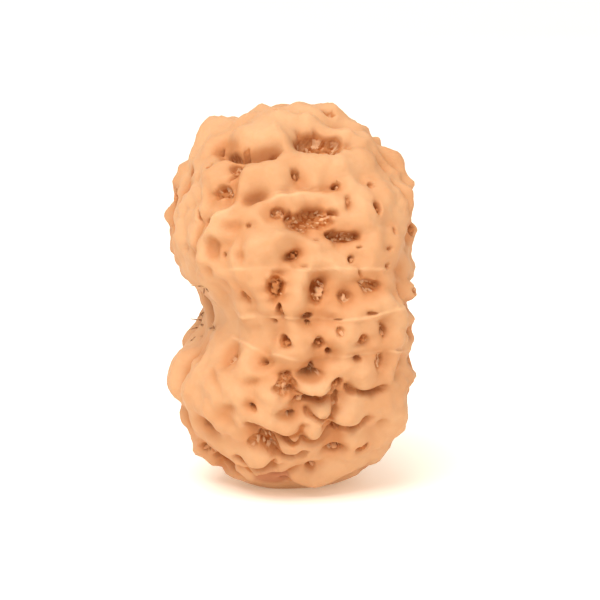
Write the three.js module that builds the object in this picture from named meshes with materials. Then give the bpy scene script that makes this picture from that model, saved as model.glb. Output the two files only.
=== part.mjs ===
// A rudraksha seed: the stone of one fruit, grown as a single hard piece, standing on a small flat spot.
// Millimetres, +Z up, with the origin in the middle of the flat spot.
// The X axis runs through the seed's two poles. The stalk pole, at -X, lies in a notch as on a kidney bean.
// Seam lines run from pole to pole like those between a pumpkin's lobes, and pits lie in rows between them.
import * as THREE from "three";
import { mergeVertices } from "three/addons/utils/BufferGeometryUtils.js";

// The smooth body under the relief.
const HALF_ACROSS = 9.5; // from the middle to either pole's end, along X
const HALF_DEEP = 10.5; // front to back, along Y
const HALF_TALL = 14.95; // along Z, from the middle down
const TOP_SHARE = 0.957; // the top half is this much as tall as the lower half
const FULLNESS = 3.1; // 2 is an ellipsoid, and more fills the corners out
const TOP_FULLNESS = 2.5; // the top is rounder
const FOOT_FULLNESS = 2.6; // and so is the foot
const ROUNDER = [0.3, 0.95]; // between these heights on the unit ball, the fullness changes over
const MIDDLE_UP = 14.7; // the middle's height: less than HALF_TALL, which leaves the flat spot
const ASIDE = 0.2; // how far the body sits from the flat spot's middle, towards the far pole
const NOTCH = { depth: 3.0, up: -1.05, half: 3.1, fullness: 2.5 }; // the section is rounder there
const FAR_DIMPLE = { depth: 2.1, up: 0.3, half: 7.0, halfDeep: 9 };

// The mesh is a cube's grid blown up to a ball, with more squares along the longer sides.
const STEPS = { x: 26, y: 30, z: 36 };
// The seams' angles in degrees round the X axis, from the front up over the top. Each is on a grid line:
// the lines are 2.5 degrees apart on the front and back, and 3 degrees apart on the top and bottom.
const SEAMS = [
  -172.5, -152.5, -132, -111, -90, -69, -51, -35, -25, -12.5, 0, 15, 27.5, 42.5, 57, 78, 99, 123, 145, 165,
];
const LOBE_RISE = 0.6; // how far a lobe's crest stands over its seams
const LOBE_SHARP = 1.9; // a higher power gives flatter crests and narrower seams
const LOBES_FADE = [0.6, 1]; // the lobes fade out between these distances from the poles, on the unit ball
const SEAM_SWAY = 2.2; // degrees that a seam wanders from its plane

// Soft lumps all over: wave trains of about these lengths and heights.
const BROAD_LUMPS = { seed: 11, count: 24, length: 6.5, height: 0.17 };
const SMALL_LUMPS = { seed: 23, count: 40, length: 2.9, height: 0.19 };

// The front is laid out as an eye at this place sees it, turned to the stalk's side and a little above.
const EYE = { away: 220, turn: -13, rise: 10 };

// Each form on the front: [across, up, half length, half height, turn in degrees, depth].
// Across and up run from the seed's middle, in millimetres as that eye sees them.
const CAVES = [
  [-5.5, 8.0, 0.8, 0.55, 20, 0.8],
  [2.2, 11.75, 2.0, 1.1, -24, 1.0],
  [1.4, 6.0, 1.9, 0.9, 5, 0.9],
  [-1.0, 6.5, 0.55, 0.5, 0, 0.7],
  [4.1, 4.7, 1.4, 0.5, -3, 0.8],
  [6.1, 0.8, 0.95, 0.6, -10, 0.7],
  [-0.45, -6.8, 0.9, 0.95, 0, 0.6],
  [-1.4, -11.1, 1.0, 0.65, -40, 0.8],
  [-5.4, -12.3, 1.25, 0.95, -8, 1.1],
  [-2.9, -10.9, 0.5, 0.5, 0, 0.5],
  [6.8, -5.2, 0.75, 0.5, 90, 0.5],
  [-8.3, 8.8, 1.25, 0.4, 72, 0.5],
  [3.4, -8.1, 0.95, 0.3, 90, 0.5],
];
const HOLES = [
  [0.2, 9.5, 0.4, 0.4, 0, 0.7],
  [3.4, 8.7, 0.4, 0.3, 10, 0.7],
  [4.3, 7.2, 0.6, 0.3, 90, 0.35],
  [6.5, 6.7, 0.6, 0.38, 85, 0.7],
  [0.3, 3.2, 0.75, 0.5, 35, 0.8],
  [4.6, 2.8, 0.35, 0.3, 60, 0.6],
  [-1.3, 0.7, 1.3, 0.8, 90, 0.95],
  [-1.0, -1.0, 0.7, 0.3, 90, 0.8],
  [-3.7, -0.2, 0.85, 0.35, 90, 0.5],
  [2.1, 0.4, 1.25, 0.7, 80, 0.85],
  [4.2, 0.0, 0.6, 0.6, 0, 0.5],
  [8.7, 0.1, 0.45, 0.35, 90, 0.3],
  [1.3, -1.5, 0.5, 0.25, 10, 0.7],
  [6.2, -1.2, 0.45, 0.15, 0, 0.4],
  [3.8, -2.7, 0.45, 0.3, 90, 0.35],
  [-0.5, -3.4, 0.75, 0.5, -25, 0.8],
  [2.2, -3.5, 0.6, 0.45, -20, 0.75],
  [2.8, -4.3, 0.35, 0.25, -40, 0.7],
  [5.5, -3.3, 0.55, 0.55, 0, 0.5],
  [7.2, -2.8, 0.75, 0.42, 95, 0.5],
  [-4.8, -4.5, 0.7, 0.38, 85, 0.5],
  [-2.5, -4.8, 0.35, 0.3, 90, 0.5],
  [8.4, -5.0, 0.7, 0.3, 90, 0.4],
  [1.5, -5.9, 0.85, 0.6, -20, 0.85],
  [3.6, -6.8, 0.6, 0.5, 60, 0.7],
  [0.8, -8.2, 0.5, 0.3, 20, 0.5],
  [-0.5, -9.1, 0.9, 0.35, -12, 0.7],
  [-3.0, -8.55, 0.5, 0.35, -30, 0.6],
  [-6.5, -9.7, 0.5, 0.42, 0, 0.8],
  [3.5, -10.3, 0.45, 0.4, 0, 0.7],
  [5.3, -11.5, 0.5, 0.35, 60, 0.5],
  [3.2, -11.8, 0.8, 0.38, 0, 0.6],
  [1.4, -13.1, 0.5, 0.4, -30, 0.7],
];
const SLITS = [
  [-4.5, 9.4, 0.9, 0.2, 52, 0.6],
  [-7.3, 6.2, 0.6, 0.2, -55, 0.6],
  [2.8, 13.6, 0.7, 0.18, -20, 0.5],
  [1.7, -7.7, 1.75, 0.3, 8, 0.9],
  [6.2, -7.4, 1.5, 0.2, 5, 0.6],
  [0.0, -10.7, 1.1, 0.22, -8, 0.8],
  [-0.2, -12.3, 0.8, 0.2, -20, 0.5],
  [2.8, -9.4, 0.65, 0.3, 0, 0.6],
  [4.9, -10.2, 0.65, 0.22, 20, 0.7],
  [-6.6, -0.9, 0.75, 0.45, 80, 0.9],
];
const DENTS = [
  [-4.9, 11.45, 1.5, 0.85, -8, 1.0],
  [-2.4, 10.95, 1.2, 0.7, 0, 0.9],
  [-2.95, 7.85, 0.95, 0.42, 22, 0.7],
  [-4.9, 5.5, 1.0, 0.45, 5, 0.3],
  [-6.3, 3.8, 0.95, 0.6, 75, 0.8],
  [-3.7, 3.3, 1.1, 0.45, 88, 0.6],
  [-7.8, 3.4, 0.6, 0.35, 75, 0.4],
  [-6.5, 1.9, 0.6, 0.5, 60, 0.3],
  [8.5, 8.6, 0.9, 0.4, 80, 0.4],
  [-3.2, -6.7, 1.0, 0.35, 5, 0.35],
  [-6.0, -6.2, 1.3, 0.5, -45, 0.4],
  [-4.9, -8.8, 0.85, 0.5, 15, 0.45],
  [-2.3, -10.5, 1.5, 0.9, -10, 0.45],
  [7.2, -9.7, 0.6, 0.3, 45, 0.3],
  [2.5, 8.5, 1.5, 0.3, 0, 0.35],
  [-7.0, -4.5, 0.8, 0.5, -60, 0.35],
  [4.3, 13.9, 1.5, 1.0, -35, 0.7],
  [9.0, -0.8, 0.9, 0.5, 0, 0.35],
  [8.8, 2.2, 1.0, 0.7, 0, 0.35],
  [9.3, 5.0, 1.0, 0.8, 90, 0.5],
  [-5.9, -14.1, 1.6, 0.6, -10, 0.8],
  [6.2, -13.8, 1.5, 0.6, 10, 0.6],
  [1.9, -5.6, 1.0, 0.75, 0, 0.4],
  [-5.2, -9.2, 1.4, 0.9, 20, 0.4],
  [-8.8, -8.9, 0.9, 0.7, 0, 0.35],
  [-4.8, -4.4, 0.9, 0.8, 80, 0.3],
  [-7.1, -4.0, 0.9, 0.7, 60, 0.3],
];
const CREASES = [
  [-4.55, 8.45, 1.6, 0.4, 79, 0.5],
  [-7.5, 4.15, 1.5, 0.4, 73, 0.45],
  [7.3, 10.5, 1.4, 0.4, -60, 0.55],
  [8.45, 7.6, 1.9, 0.4, -75, 0.55],
  [-8.15, -5.6, 2.7, 0.45, 83, 0.45],
  [-1.9, -12.85, 1.7, 0.3, 13, 0.5],
  [1.9, -14.0, 1.5, 0.3, -12, 0.3],
];
const KNOBS = [
  [2.2, 4.0, 1.7, 0.45, 15, 0.3],
  [-6.2, 9.2, 0.9, 0.6, -20, 0.25],
  [9.3, 0.35, 0.9, 0.7, 0, 0.85],
  [9.3, -1.8, 0.9, 0.7, 0, 0.6],
  [9.2, -5.8, 1.3, 1.2, 0, 0.65],
  [-7.4, 11.8, 2.4, 1.8, 50, 0.6],
  [-8.7, -5.8, 2.4, 1.5, 85, 0.7],
  [-8.8, 4.6, 1.6, 1.0, 80, 0.3],
  [-6.9, 2.4, 0.9, 0.7, 50, 0.3],
  [-7.7, -11.8, 1.3, 1.0, 0, 0.5],
  [-7.9, -10.4, 1.0, 0.8, 0, 0.4],
  [8.3, 9.4, 2.2, 1.4, -65, 0.65],
  [-5.6, 13.3, 1.6, 1.0, 25, 0.45],
];
// A flap grows out of the stone gently from above and ends in a round lip below, over a crevice.
const FLAPS = [
  [1.65, -6.95, 1.35, 0.65, 4, 0.7],
  [2.4, -8.5, 0.85, 0.65, 0, 0.7],
  [4.6, -9.3, 1.35, 0.85, 0, 0.5],
  [-1.3, -9.6, 1.7, 0.9, -12, 0.6],
  [1.9, -10.0, 0.9, 1.0, 0, 0.5],
  [-0.3, -11.3, 1.0, 0.95, -35, 0.5],
  [-3.2, -12.0, 1.25, 1.0, 5, 0.5],
  [-1.6, -13.1, 1.5, 0.8, 8, 0.35],
  [2.9, -13.5, 2.0, 1.3, 5, 0.45],
  [-3.6, 11.9, 1.9, 1.1, -10, 0.4],
  [6.2, -6.75, 1.2, 0.6, 5, 0.22],
];
const UNDER_FLAP = { deep: 0.3, ring: 1.35, half: 0.35 }; // the crevice, as shares of the flap's half height
// The skin round each pit sinks towards it, and fully so where the pit is this deep.
const HOLLOW_ROUND = { deep: 0.38, reach: 1.3, full: 0.6 };
// How each kind fades out from its middle, as shares of its half lengths: where its floor ends and where its
// wall ends on the upper side, then both on the lower side.
const PROFILES = {
  cave: [0.45, 1.35, 0.45, 1.35],
  hole: [0.2, 1.35, 0.2, 1.35],
  slit: [0.1, 1.35, 0.1, 1.35],
  dent: [0, 1.35, 0, 1.35],
  knob: [0.25, 1.5, 0.25, 1.5],
  flap: [0, 1.5, 0.6, 1.35],
};
const LOWER_SIDE = [-0.4, 0.8]; // a form changes from its upper to its lower side between these heights
const LEAST_HALF = 0.62; // a narrower form is widened to this, so that the coarse mesh still holds it
const STEEPEST = 1.0; // the most depth a form has, as a share of its smaller half length

// The rest of the seed has its pits by rule: rows along each lobe, with a cave here and there.
const PIT_ROWS = {
  seed: 7,
  first: 24, // degrees from the stalk pole to a row's first pit, and as much from the far pole to its last
  apart: 2.3,
  sway: 0.26, // how far a pit strays from its lobe's middle, as a share of the lobe
  caveShare: 0.16,
  frontFacing: 0.2, // the laid-out front begins where the surface faces the eye this much
};
const PORE = { radius: 0.8, depth: 1.5 }; // the natural pore at each pole
const FOOT_CALM = [0.1, 1.9]; // the relief fades out between these heights, towards the flat spot
const FOOT_QUIET = { least: 0.45, from: 1, to: 7 }; // lobes and lumps are lower between these heights
const NOTCH_QUIET = { half: 4, least: 0.5, ring: [0.45, 0.95] }; // and the lumps fade out into the notch

// A small seeded generator: each call gives the next number between low and high.
function seededDraw(seed) {
  let state = seed;
  return (low, high) => {
    state = (state * 16807) % 2147483647;
    return low + ((high - low) * state) / 2147483647;
  };
}

const { smoothstep: ease, degToRad: radians, lerp } = THREE.MathUtils;
const bell = (value, half) => Math.exp(-((value / half) ** 2));

// A point of the smooth body for a direction on the unit ball.
function bodyPoint(direction) {
  const { x, y, z } = direction;
  const ring = Math.hypot(y, z);
  const end = z > 0 ? TOP_FULLNESS : FOOT_FULLNESS;
  const inNotch = bell(z * HALF_TALL - NOTCH.up, NOTCH.half) * ease(-x, 0, 0.8);
  const fullness = lerp(lerp(FULLNESS, end, ease(Math.abs(z), ...ROUNDER)), NOTCH.fullness, inNotch);
  const grow = (Math.abs(x) ** fullness + ring ** fullness) ** (-1 / fullness);
  const tall = z > 0 ? HALF_TALL * TOP_SHARE : HALF_TALL;
  const point = new THREE.Vector3(x * HALF_ACROSS, y * HALF_DEEP, z * tall).multiplyScalar(grow);
  const notch = bell(point.z - NOTCH.up, NOTCH.half);
  const dimple = bell(point.z - FAR_DIMPLE.up, FAR_DIMPLE.half) * bell(point.y, FAR_DIMPLE.halfDeep);
  point.x += ASIDE + NOTCH.depth * notch * ease(-x, 0, 0.8) - FAR_DIMPLE.depth * dimple * ease(x, 0, 0.8);
  return point;
}

// Wave trains with random ways, lengths and phases, whose sum is a lumpy field of about unit height.
function waveTrains({ seed, count, length, height }) {
  const draw = seededDraw(seed);
  const trains = Array.from({ length: count }, () => {
    const z = draw(-1, 1);
    const turn = draw(0, 2 * Math.PI);
    const way = new THREE.Vector3(Math.cos(turn), Math.sin(turn), 0).multiplyScalar(Math.sqrt(1 - z * z));
    way.z = z;
    way.multiplyScalar((2 * Math.PI) / (length * draw(0.65, 1.35)));
    return { way, phase: draw(0, 2 * Math.PI) };
  });
  const share = height / Math.sqrt(count / 2);
  return (point) => trains.reduce((sum, t) => sum + share * Math.sin(t.way.dot(point) + t.phase), 0);
}

// How far the body rises at a place between two seams, for an angle round the X axis.
function lobeRise(angle) {
  const above = SEAMS.findIndex((seam) => seam > angle);
  const high = above < 0 ? SEAMS[0] + 360 : SEAMS[above];
  const low = above < 0 ? SEAMS.at(-1) : above === 0 ? SEAMS.at(-1) - 360 : SEAMS[above - 1];
  const fromMiddle = Math.abs((2 * (angle - low)) / (high - low) - 1);
  const width = Math.min(1, (high - low) / 18);
  return LOBE_RISE * width * (1 - fromMiddle ** LOBE_SHARP);
}

const sway = waveTrains({ seed: 5, count: 12, length: 9, height: SEAM_SWAY });

// The direction turned a little about the X axis, which bends the seams and the mesh lines with them.
function swayed(direction) {
  const turn = radians(sway(bodyPoint(direction)));
  return direction.clone().applyAxisAngle(new THREE.Vector3(1, 0, 0), turn);
}

// The front eye's own axes, and a point as it is seen from there.
const eyeBack = new THREE.Vector3(
  Math.sin(radians(EYE.turn)) * Math.cos(radians(EYE.rise)),
  -Math.cos(radians(EYE.turn)) * Math.cos(radians(EYE.rise)),
  Math.sin(radians(EYE.rise)),
);
const eyeRight = new THREE.Vector3(Math.cos(radians(EYE.turn)), Math.sin(radians(EYE.turn)), 0);
const eyeUp = new THREE.Vector3().crossVectors(eyeBack, eyeRight);
function seenFromFront(point) {
  const scale = EYE.away / (EYE.away - point.dot(eyeBack));
  return new THREE.Vector2(point.dot(eyeRight) * scale, point.dot(eyeUp) * scale);
}

// The item of a list with the smallest cost.
function least(list, cost) {
  const costs = list.map(cost);
  return list[costs.indexOf(Math.min(...costs))];
}

// The place on the body that the front eye sees nearest to across and up.
function placeOnFront(body, across, up) {
  const aim = new THREE.Vector2(across, up);
  const facing = body.filter(({ normal }) => normal.dot(eyeBack) > 0.02);
  return least(facing, ({ seen }) => seen.distanceTo(aim));
}

// One pit, dent, knob or flap: an ellipse laid on the surface, long along its own turn.
function formAt(kind, { point, normal }, upward, [halfLong, halfHigh, turn, depth]) {
  const side = new THREE.Vector3().crossVectors(upward, normal).normalize();
  const up = new THREE.Vector3().crossVectors(normal, side);
  const along = side.applyAxisAngle(normal, radians(turn));
  const across = new THREE.Vector3().crossVectors(normal, along);
  const long = Math.max(halfLong, LEAST_HALF);
  const high = Math.max(halfHigh, LEAST_HALF);
  const held = Math.min(depth, STEEPEST * Math.min(long, high));
  return { kind, centre: point, up, along, across, long, high, depth: held };
}

// A point's place in a form, and undefined where the point is out of the form's reach.
function placeIn(form, point, margin = 0) {
  const from = point.clone().sub(form.centre);
  if (from.length() > 1.6 * Math.max(form.long, form.high) + margin) return undefined;
  const [along, across] = [from.dot(form.along), from.dot(form.across)];
  const ring = Math.hypot(along / form.long, across / form.high);
  return { ring, away: Math.hypot(along, across), lower: -from.dot(form.up) / form.high };
}

// A form's share of its depth at a point: 1 in its floor, 0 outside.
function shareOf(form, point) {
  const place = placeIn(form, point);
  if (!place) return 0;
  const [floorAbove, endAbove, floorBelow, endBelow] = PROFILES[form.kind];
  const below = ease(place.lower, ...LOWER_SIDE);
  return 1 - ease(place.ring, lerp(floorAbove, floorBelow, below), lerp(endAbove, endBelow, below));
}

// How much the skin round a pit has sunk towards it at a point.
function sunkShare(form, point) {
  const place = placeIn(form, point, HOLLOW_ROUND.reach);
  if (!place || !["cave", "hole"].includes(form.kind)) return 0;
  const outside = place.away * (1 - 1 / Math.max(place.ring, 1));
  return (1 - ease(outside, 0, HOLLOW_ROUND.reach)) * Math.min(1, form.depth / HOLLOW_ROUND.full);
}

// 1 in the crevice along a flap's lower edge.
function creviceShare(form, point) {
  const place = placeIn(form, point);
  if (!place || form.kind !== "flap") return 0;
  return bell(place.ring - UNDER_FLAP.ring, UNDER_FLAP.half) * ease(place.lower, 0.1, 0.7);
}

// Where forms overlap, the deeper one wins softly, so that they don't add up to a hole.
function softMost(forms, power, depthOf) {
  return forms.reduce((sum, form) => sum + depthOf(form) ** power, 0) ** (1 / power);
}

// The pits that the rule places, in rows along each lobe, wherever the front isn't laid out by hand.
function pitsByRule(body) {
  const draw = seededDraw(PIT_ROWS.seed);
  const pits = [];
  SEAMS.forEach((low, i) => {
    const high = i + 1 < SEAMS.length ? SEAMS[i + 1] : SEAMS[0] + 360;
    let polar = PIT_ROWS.first + draw(0, 8);
    while (polar < 180 - PIT_ROWS.first) {
      const angle = radians((low + high) / 2 + (high - low) * draw(-PIT_ROWS.sway, PIT_ROWS.sway));
      const ball = new THREE.Vector3(
        -Math.cos(radians(polar)),
        -Math.sin(radians(polar)) * Math.cos(angle),
        Math.sin(radians(polar)) * Math.sin(angle),
      );
      const point = bodyPoint(swayed(ball));
      const place = least(body, (other) => other.point.distanceToSquared(point));
      const cave = draw(0, 1) < PIT_ROWS.caveShare;
      const halfLong = cave ? draw(1.1, 1.9) : draw(0.7, 1.2);
      const halfHigh = cave ? draw(0.7, 1.0) : draw(0.5, 0.75);
      const turn = cave ? draw(-30, 30) : 90 + draw(-25, 25);
      const depth = cave ? draw(0.7, 1.0) : draw(0.4, 0.8);
      if (place.normal.dot(eyeBack) < PIT_ROWS.frontFacing) {
        const round = new THREE.Vector3(0, point.z, -point.y).normalize();
        pits.push(formAt(cave ? "cave" : "hole", place, round, [halfLong, halfHigh, turn, depth]));
      }
      const step = PIT_ROWS.apart * draw(0.85, 1.2) + (cave ? halfLong : 0);
      polar += THREE.MathUtils.radToDeg(step / point.length());
    }
  });
  return pits;
}

// The grid of a cube, blown up to a ball with even angles, as directions.
function ballGrid() {
  const grid = new THREE.BoxGeometry(2, 2, 2, STEPS.x, STEPS.y, STEPS.z);
  grid.deleteAttribute("normal");
  grid.deleteAttribute("uv");
  const merged = mergeVertices(grid, 1e-4);
  const position = merged.getAttribute("position");
  const bent = (t) => Math.tan((t * Math.PI) / 4);
  const directions = Array.from({ length: position.count }, (_, i) =>
    new THREE.Vector3(bent(position.getX(i)), bent(position.getY(i)), bent(position.getZ(i))).normalize(),
  );
  return { merged, directions };
}

function writePoints(geometry, points) {
  geometry.setAttribute(
    "position",
    new THREE.Float32BufferAttribute(points.flatMap((p) => [p.x, p.y, p.z]), 3),
  );
}

// Splits each four-sided square of the grid along its shorter diagonal, which follows the grooves better.
function splitShort(geometry, points) {
  const index = geometry.index.array;
  for (let i = 0; i < index.length; i += 6) {
    const [a, b, d] = [index[i], index[i + 1], index[i + 2]];
    const c = index[i + 4];
    if (points[a].distanceTo(points[c]) < points[b].distanceTo(points[d])) {
      index.set([a, b, c, a, c, d], i);
    }
  }
}

function seedStone() {
  const { merged, directions } = ballGrid();
  const smooth = directions.map((direction) => bodyPoint(swayed(direction)));
  writePoints(merged, smooth);
  merged.computeVertexNormals();
  const normals = merged.getAttribute("normal");
  const body = smooth.map((point, i) => ({
    point,
    normal: new THREE.Vector3().fromBufferAttribute(normals, i),
    seen: seenFromFront(point),
  }));

  const onFront = (kind, list) =>
    list.map(([across, up, ...shape]) => formAt(kind, placeOnFront(body, across, up), eyeUp, shape));
  const pits = [
    ...onFront("cave", CAVES),
    ...onFront("hole", HOLES),
    ...onFront("slit", SLITS),
    ...onFront("dent", DENTS),
    ...onFront("dent", CREASES),
    ...pitsByRule(body),
  ];
  const bulges = [...onFront("knob", KNOBS), ...onFront("flap", FLAPS)];
  const broad = waveTrains(BROAD_LUMPS);
  const small = waveTrains(SMALL_LUMPS);

  const points = body.map(({ point, normal }, i) => {
    const ball = directions[i];
    const angle = THREE.MathUtils.radToDeg(Math.atan2(ball.z, -ball.y));
    const ring = Math.hypot(ball.y, ball.z);
    const lobe = lobeRise(angle) * ease(ring, ...LOBES_FADE);
    const atFoot = lerp(FOOT_QUIET.least, 1, ease(point.z + MIDDLE_UP, FOOT_QUIET.from, FOOT_QUIET.to));
    const inNotch = bell(point.z - NOTCH.up, NOTCH_QUIET.half) * ease(-ball.x, 0, 0.3);
    const lumps = lerp(1, NOTCH_QUIET.least, inNotch * (1 - ease(ring, ...NOTCH_QUIET.ring)));
    const raised = bulges.reduce((sum, form) => sum + form.depth * shareOf(form, point), 0);
    const pitted = softMost(pits, 4, (form) => form.depth * shareOf(form, point));
    const sunk = HOLLOW_ROUND.deep * softMost(pits, 3, (form) => sunkShare(form, point));
    const crevice = UNDER_FLAP.deep * Math.max(...bulges.map((form) => creviceShare(form, point)));
    const pore = PORE.depth * (1 - ease(ring * HALF_DEEP, PORE.radius * 0.3, PORE.radius * 2));
    const waves = atFoot * (lobe + lumps * (broad(point) + small(point)) - sunk);
    const relief = waves + raised - pitted - crevice - pore;
    const calm = ease(point.z + MIDDLE_UP, ...FOOT_CALM);
    const made = point.clone().addScaledVector(normal, relief * calm);
    made.z = Math.max(0, made.z + MIDDLE_UP);
    return made;
  });
  writePoints(merged, points);
  splitShort(merged, points);
  merged.computeVertexNormals();

  const stoneTan = new THREE.MeshStandardMaterial({ color: 0xd9a071, roughness: 0.75, metalness: 0 });
  const mesh = new THREE.Mesh(merged, stoneTan);
  mesh.name = "seed_stone";
  return mesh;
}

const rudrakshaSeed = new THREE.Group();
rudrakshaSeed.name = "rudraksha_seed";
rudrakshaSeed.add(seedStone());

export default rudrakshaSeed;
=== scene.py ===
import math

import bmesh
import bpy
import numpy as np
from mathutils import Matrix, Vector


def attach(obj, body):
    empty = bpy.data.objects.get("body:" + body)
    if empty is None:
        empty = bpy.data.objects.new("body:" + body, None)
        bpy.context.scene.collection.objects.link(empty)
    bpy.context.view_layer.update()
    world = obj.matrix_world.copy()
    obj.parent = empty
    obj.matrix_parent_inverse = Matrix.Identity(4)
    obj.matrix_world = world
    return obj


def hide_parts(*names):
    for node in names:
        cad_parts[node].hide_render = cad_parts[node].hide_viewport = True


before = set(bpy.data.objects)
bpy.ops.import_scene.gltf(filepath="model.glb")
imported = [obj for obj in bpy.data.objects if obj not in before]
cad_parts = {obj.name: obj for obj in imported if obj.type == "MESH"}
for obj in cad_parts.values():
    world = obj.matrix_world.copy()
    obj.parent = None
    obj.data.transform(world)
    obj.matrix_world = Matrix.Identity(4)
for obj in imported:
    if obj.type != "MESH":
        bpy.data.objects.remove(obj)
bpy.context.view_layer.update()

# %% [markdown]
# # A rudraksha seed
#
# A rudraksha seed is the stone of a small blue fruit. Once the flesh is washed off, a hard tan stone is
# left, with lobes that run from the stalk pole to the far pole, thin seam lines between them, and a
# rounded raised net with deep pits in it. This one stands on end, with its stalk pole in a notch.
#
# The packed part is already in place. The origin is in the middle of the flat spot that the seed stands
# on, +Z is up, and the poles lie along the X axis.

# %% [markdown]
# ## The ball under the stone
#
# The stone is one closed skin with relief all over. It could be carved from a sphere, but a sphere's
# squares shrink at its poles. A cube that is cut into squares and blown up to a ball has nearly even
# squares everywhere. A tangent spaces its lines by even angles, and the taller side gets more of them.
#
# The three cuts are kept so low that the pits can be cut finer later, within 200,000 triangles.

# %% A cube cut into squares
SQUARES = (56, 64, 86)  # along X, Y and Z


def cut_cube():
    grid = bmesh.new()
    bmesh.ops.create_cube(grid, size=2)
    for axis, squares in enumerate(SQUARES):
        along = [e for e in grid.edges if abs(e.verts[0].co[axis] - e.verts[1].co[axis]) > 1e-6]
        bmesh.ops.subdivide_edges(grid, edges=along, cuts=squares - 1, use_grid_fill=True)
    return grid


def read_points(grid):
    return np.array([v.co for v in grid.verts], float)


def write_points(grid, points):
    for vertex, point in zip(grid.verts, points):
        vertex.co = point


stone_grid = cut_cube()
print("the cut cube has", len(stone_grid.faces), "squares")

# %% The cube blown up to a ball
def unit(vectors):
    return vectors / np.linalg.norm(vectors, axis=-1, keepdims=True)


write_points(stone_grid, unit(np.tan(read_points(stone_grid) * math.pi / 4)))
lengths = [e.calc_length() for e in stone_grid.edges]
print("edges on the unit ball from", round(min(lengths), 4), "to", round(max(lengths), 4))

# %% [markdown]
# ## The smooth body
#
# Under its relief the seed is a fat, slightly boxy egg. A superellipse gives that with one number, its
# fullness: 2 is an ellipsoid, and more fills the shoulders out. The top and the foot are rounder. A soft
# bell curve presses the notch in at the stalk pole, as on a kidney bean, and a shallower one presses the
# far side.
#
# From here on the shape is worked out in millimetres, and it becomes metres once, at the end.

# %% The body's formula
HALF = np.array([9.5, 10.5, 14.95])  # across, deep and tall, from the middle
TOP_SHARE = 0.957  # the top half is this much as tall as the lower half
FULLNESS, TOP_FULLNESS, FOOT_FULLNESS = 3.1, 2.5, 2.6
MIDDLE_UP = 14.7  # the middle's height over the flat spot
ASIDE = 0.2  # the body sits this far towards the far pole
NOTCH = {"depth": 3.0, "up": -1.05, "half": 3.1, "fullness": 2.5}  # the section is rounder there
FAR_DIMPLE = {"depth": 2.1, "up": 0.3, "half": 7.0, "half_deep": 9}
ROUNDING = (0.3, 0.95)  # the heights on the unit ball where the rounding starts and is full
POLE_SIDE = (0, 0.8)  # the same towards a pole, for its notch or dimple


def ease(value, low, high):
    share = np.clip((value - low) / (high - low), 0, 1)
    return share * share * (3 - 2 * share)


def bell(value, half):
    return np.exp(-((value / half) ** 2))


def body_points(directions):
    side, rise = directions[:, 0], directions[:, 2]
    ring = np.hypot(directions[:, 1], rise)
    stalk_side, far_side = ease(-side, *POLE_SIDE), ease(side, *POLE_SIDE)
    fullness = FULLNESS + (TOP_FULLNESS - FULLNESS) * ease(rise, *ROUNDING)
    fullness += (FOOT_FULLNESS - FULLNESS) * ease(-rise, *ROUNDING)
    in_notch = bell(rise * HALF[2] - NOTCH["up"], NOTCH["half"]) * stalk_side
    fullness += (NOTCH["fullness"] - fullness) * in_notch
    grow = (np.abs(side) ** fullness + ring**fullness) ** (-1 / fullness)
    points = directions * HALF * grow[:, None]
    points[:, 2] *= np.where(rise > 0, TOP_SHARE, 1)
    notch = bell(points[:, 2] - NOTCH["up"], NOTCH["half"])
    dimple = bell(points[:, 2] - FAR_DIMPLE["up"], FAR_DIMPLE["half"])
    dimple *= bell(points[:, 1], FAR_DIMPLE["half_deep"])
    points[:, 0] += ASIDE + NOTCH["depth"] * notch * stalk_side
    points[:, 0] -= FAR_DIMPLE["depth"] * dimple * far_side
    return points


smooth = body_points(read_points(stone_grid))
print("the smooth body spans", np.round(smooth.max(0) - smooth.min(0), 2), "mm")

# %% [markdown]
# ## Waves that make it uneven
#
# Nothing grown is quite regular. Many short sine waves that run in random directions add up to soft
# lumps, and the same sum sways the seam lines. The random numbers come from a small generator with a
# fixed start, so that the seed is the same each time it is built.

# %% Seeded numbers and wave trains
TRAIN_LENGTHS = (0.65, 1.35)  # each train's length, as a share of the length asked for


class Draw:
    """Each call gives the next random number between low and high."""

    def __init__(self, start):
        self.state = start

    def __call__(self, low, high):
        self.state = self.state * 16807 % 2147483647
        return low + (high - low) * self.state / 2147483647


def wave_trains(start, count, length):
    draw = Draw(start)
    rows = []
    for _ in range(count):
        rise, turn = draw(-1, 1), draw(0, 2 * math.pi)
        flat = math.sqrt(1 - rise * rise)
        pace = 2 * math.pi / (length * draw(*TRAIN_LENGTHS))
        way = (flat * math.cos(turn) * pace, flat * math.sin(turn) * pace, rise * pace)
        rows.append((*way, draw(0, 2 * math.pi)))
    ways = np.array(rows)
    return lambda points: np.sin(points @ ways[:, :3].T + ways[:, 3]).sum(1) / math.sqrt(count / 2)


broad_lumps = wave_trains(11, 24, 6.5)
small_lumps = wave_trains(23, 40, 2.9)
ragged = wave_trains(31, 40, 1.15)
print("broad lumps run from", *np.round([broad_lumps(smooth).min(), broad_lumps(smooth).max()], 2))

# %% [markdown]
# ## Seam lines and lobes
#
# The seams run from pole to pole like a pumpkin's, so each one is an angle round the X axis. Between two
# seams the stone swells to a crest, and a lobe's profile is close to a parabola. The sway turns each
# point a little about the X axis, which bends the seams without moving the poles.

# %% Lobes between seam angles
SEAMS = np.array([
    -172.5, -152.5, -132, -111, -90, -69, -51, -35, -25, -12.5, 0, 15, 27.5, 42.5, 57, 78, 99, 123, 145, 165,
])
LOBE_RISE, LOBE_SHARP = 0.6, 1.9
FULL_LOBE = 18  # degrees; a narrower lobe rises less
seam_sway = wave_trains(5, 12, 9)
SWAY_DEGREES = 2.2


def swayed(directions):
    turn = np.radians(SWAY_DEGREES * seam_sway(body_points(directions)))
    x, y, z = directions.T
    return np.stack([x, y * np.cos(turn) - z * np.sin(turn), y * np.sin(turn) + z * np.cos(turn)], 1)


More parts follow.
